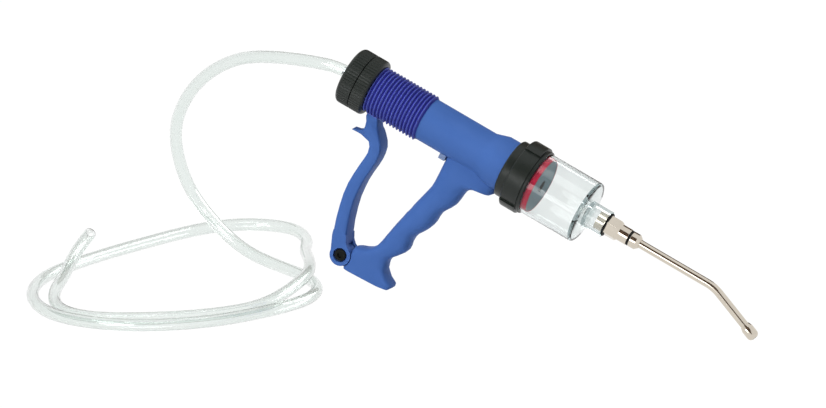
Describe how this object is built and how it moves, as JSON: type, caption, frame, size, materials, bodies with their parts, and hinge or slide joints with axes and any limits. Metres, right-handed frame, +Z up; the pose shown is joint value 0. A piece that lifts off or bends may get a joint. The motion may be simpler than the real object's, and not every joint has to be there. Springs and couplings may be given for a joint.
{
  "type": "livestock drencher",
  "caption": "Pistol-grip livestock drencher: ribbed blue body with a squeeze lever, clear dosing barrel with a red-sealed piston, bent metal nozzle and a loose clear supply hose.",
  "frame": {"origin": "middle of the pistol grip, where the hand closes, in the plane of symmetry", "axes": "+X forward towards the nozzle, +Z up, +Y to the gun's left; the barrel points 25.8 degrees below +X"},
  "size_m": [0.5651, 0.3658, 0.1969],
  "materials": {
    "blue_plastic": "smooth glossy moulding with a fine soft texture",
    "black_plastic": "satin",
    "clear_plastic": "clear, polished",
    "clear_hose": "clear flexible hose",
    "red_rubber": "moulded seal",
    "black_rubber": "moulded",
    "nickel": "bright nickel plate",
    "steel": "drawn",
    "black_steel": "black oxide",
    "grey_plastic": "satin",
    "pale_plastic": "satin"
  },
  "bodies": {
    "gun": {"body_shell": "blue_plastic", "slot_end_plug": "pale_plastic", "rear_cap": "black_plastic", "hose_tail": "steel", "feed_tube": "steel", "guide_bush": "black_plastic", "return_spring": "steel", "front_collar": "black_plastic", "barrel_gasket": "black_rubber", "barrel": "clear_plastic", "outlet_adaptor": "nickel", "adaptor_seal": "black_rubber", "outlet_spring": "steel", "pivot_screw": "black_steel", "pivot_nut": "steel", "hose": "clear_hose"},
    "lever": {"lever": "blue_plastic"},
    "piston": {"piston_rod": "steel", "thrust_collar": "steel", "feed_seal": "black_rubber", "piston_head": "grey_plastic", "piston_seal": "red_rubber", "piston_retainer": "grey_plastic", "inlet_spring": "steel"},
    "inlet_valve": {"inlet_valve": "black_rubber"},
    "outlet_valve": {"outlet_valve": "black_rubber"},
    "dose_nut": {"dose_nut": "black_plastic"},
    "nozzle": {"nozzle_nut": "nickel", "nozzle_seal": "black_rubber", "nozzle_tube": "nickel", "nozzle_tip": "nickel"}
  },
  "joints": [
    {"name": "lever_squeeze", "type": "hinge", "parent": "gun", "child": "lever", "pos_m": [-0.06035, 0, -0.03198], "axis": [0, 1, 0], "range_deg": [0, 17.7]},
    {"name": "piston_slide", "type": "slide", "parent": "gun", "child": "piston", "axis": [0.9003, 0, -0.4352], "range_m": [0, 0.034], "stiffness_N_per_m": 40, "springref_m": -0.02, "deforming": ["return_spring"]},
    {"name": "inlet_valve_lift", "type": "slide", "parent": "piston", "child": "inlet_valve", "axis": [0.9003, 0, -0.4352], "range_m": [0, 0.0015], "stiffness_N_per_m": 60, "springref_m": -0.002, "deforming": ["inlet_spring"]},
    {"name": "outlet_valve_lift", "type": "slide", "parent": "gun", "child": "outlet_valve", "axis": [0.9003, 0, -0.4352], "range_m": [0, 0.0015], "stiffness_N_per_m": 80, "springref_m": -0.002, "deforming": ["outlet_spring"]},
    {"name": "dose_nut_turn", "type": "hinge", "parent": "gun", "child": "dose_nut", "pos_m": [-0.04041, 0, 0.09278], "axis": [0.9003, 0, -0.4352], "continuous": true},
    {"name": "nozzle_turn", "type": "hinge", "parent": "gun", "child": "nozzle", "pos_m": [0.16094, 0, -0.00456], "axis": [0.9003, 0, -0.4352], "continuous": true}
  ],
  "couplings": [
    {"joint": "lever_squeeze", "follows": "piston_slide", "rad_per_m": 9.086}
  ]
}
